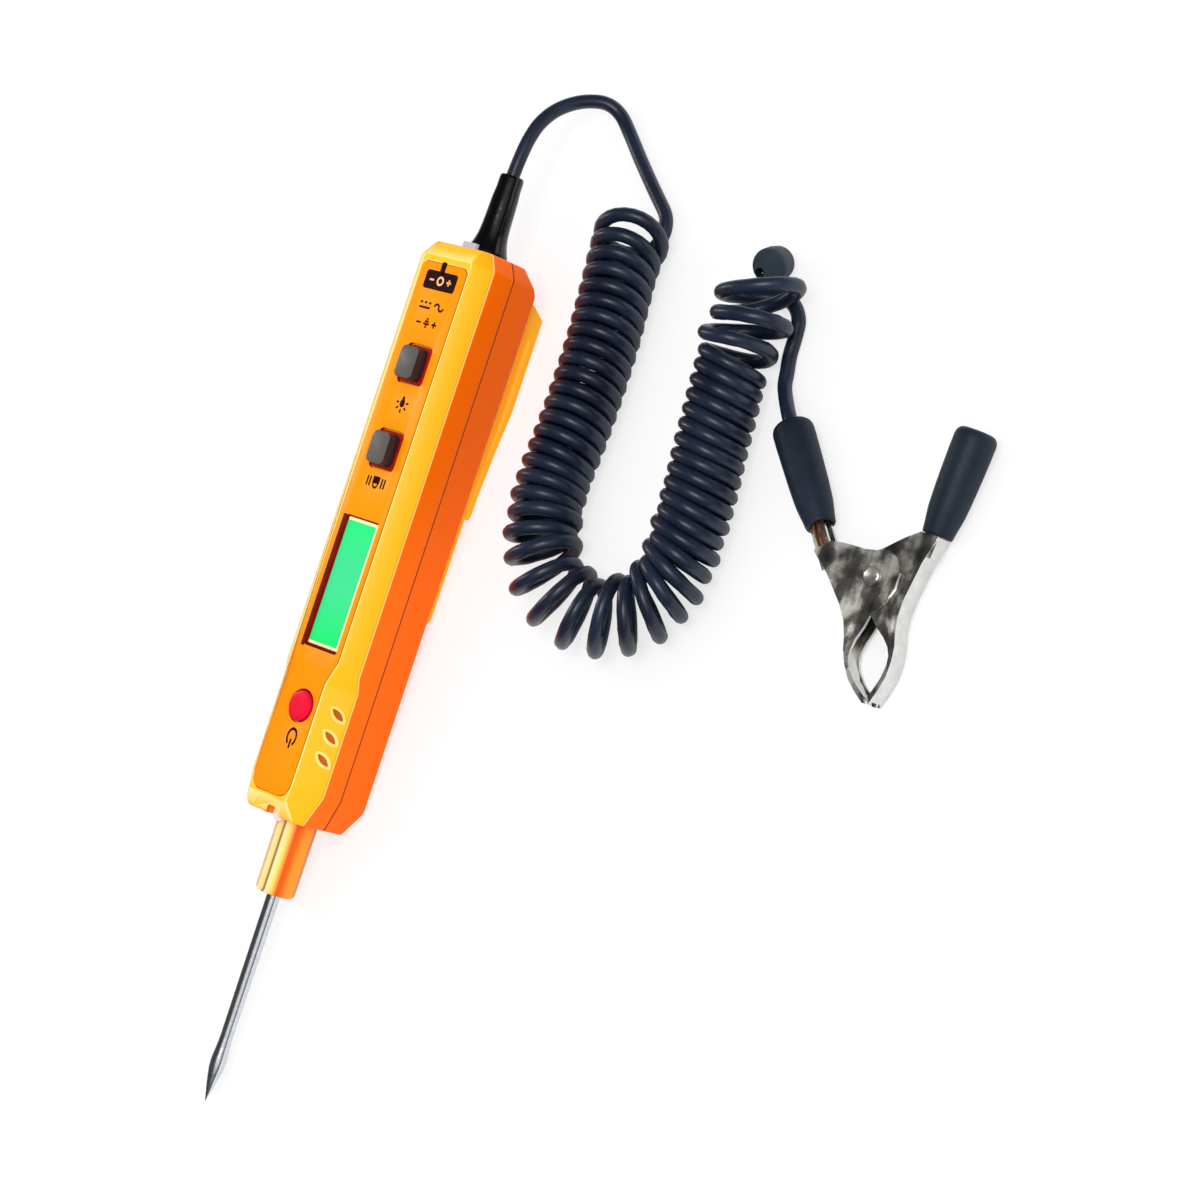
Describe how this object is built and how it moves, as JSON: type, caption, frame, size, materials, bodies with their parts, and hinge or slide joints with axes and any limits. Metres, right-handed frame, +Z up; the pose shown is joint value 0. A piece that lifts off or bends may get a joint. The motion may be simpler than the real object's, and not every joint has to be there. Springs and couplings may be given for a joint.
{
  "type": "voltage tester screwdriver",
  "caption": "Screwdriver-shaped voltage tester with a needle probe, display, keys, torch lamp, pocket clip and a curly earth lead that ends in a crocodile clip.",
  "frame": {"origin": "bottom centre of the tester without its lead, on the table that it lies on, face up", "axes": "+Y along the tester from the needle tip towards the lead, +Z up from the table through the display, +X to the right of the display"},
  "size_m": [0.1665, 0.2665, 0.0306],
  "materials": {
    "orange_shell": "fine moulded satin orange plastic",
    "dark_orange_shell": "fine moulded satin orange plastic",
    "amber_panel": "satin printed skin",
    "nickel_needle": "polished nickel plate",
    "spring_brass": "bright strip",
    "lamp_lens": "clear water-white resin",
    "clear_lens": "clear acrylic",
    "display_glass": "lit green display",
    "white_diffuser": "white diffuser block",
    "zebra_rubber": "soft conductive rubber",
    "board_green": "solder mask",
    "black_plastic": "moulded black plastic",
    "grey_key": "soft satin grey",
    "red_key": "glossy crimson",
    "cell_wrap": "plain wrapped can",
    "bright_steel": "nickel-plated steel",
    "relief_black": "glossy soft plastic",
    "light_grey": "light grey plastic",
    "lead_blue_black": "satin blue-black jacket",
    "grey_rubber": "grey-green rubber",
    "clip_nickel": "bright nickel-plated sheet",
    "copper": "bare copper strands"
  },
  "bodies": {
    "tester": {"front_shell": "orange_shell", "rear_shell": "dark_orange_shell", "face_panel": "amber_panel", "nozzle": "orange_shell", "probe_needle": "nickel_needle", "needle_contact": "spring_brass", "torch_led": "lamp_lens", "lcd_window": "clear_lens", "lcd_glass": "display_glass", "backlight": "white_diffuser", "zebra_strip": "zebra_rubber", "circuit_board": "board_green", "meter_chip": "black_plastic", "light_switch": "black_plastic", "hold_switch": "black_plastic", "power_switch": "black_plastic", "buzzer": "black_plastic", "battery_1": "cell_wrap", "battery_2": "cell_wrap", "battery_plate": "bright_steel", "battery_spring": "bright_steel", "battery_door": "dark_orange_shell", "door_screw": "bright_steel", "case_screws": "bright_steel", "strain_relief": "relief_black", "relief_key": "light_grey", "earth_wire": "relief_black", "lead_start": "lead_blue_black", "curly_cord": "lead_blue_black", "cord_bead": "grey_rubber", "lead_end": "lead_blue_black", "clip_jaw_fixed": "clip_nickel", "clip_pin": "bright_steel", "clip_spring": "bright_steel", "sleeve_fixed": "lead_blue_black", "wire_strands": "copper"},
    "light_key_body": {"light_key": "grey_key"},
    "hold_key_body": {"hold_key": "grey_key"},
    "power_key_body": {"power_key": "red_key"},
    "moving_jaw": {"clip_jaw_moving": "clip_nickel", "sleeve_moving": "lead_blue_black"}
  },
  "joints": [
    {"name": "light_key_press", "type": "slide", "parent": "tester", "child": "light_key_body", "axis": [0, 0.0558, -0.9984], "range_m": [0, 0.0005], "stiffness_N_per_m": 1200},
    {"name": "hold_key_press", "type": "slide", "parent": "tester", "child": "hold_key_body", "axis": [0, 0.0558, -0.9984], "range_m": [0, 0.0005], "stiffness_N_per_m": 1200},
    {"name": "power_key_press", "type": "slide", "parent": "tester", "child": "power_key_body", "axis": [0, 0.0558, -0.9984], "range_m": [0, 0.0005], "stiffness_N_per_m": 1200},
    {"name": "jaw_hinge", "type": "hinge", "parent": "tester", "child": "moving_jaw", "pos_m": [0.13767, 0.05125, 0.00394], "axis": [0.0107, -0.0314, 0.9995], "range_deg": [0, 35], "stiffness_Nm_per_rad": 0.03, "springref_deg": -20.05}
  ]
}
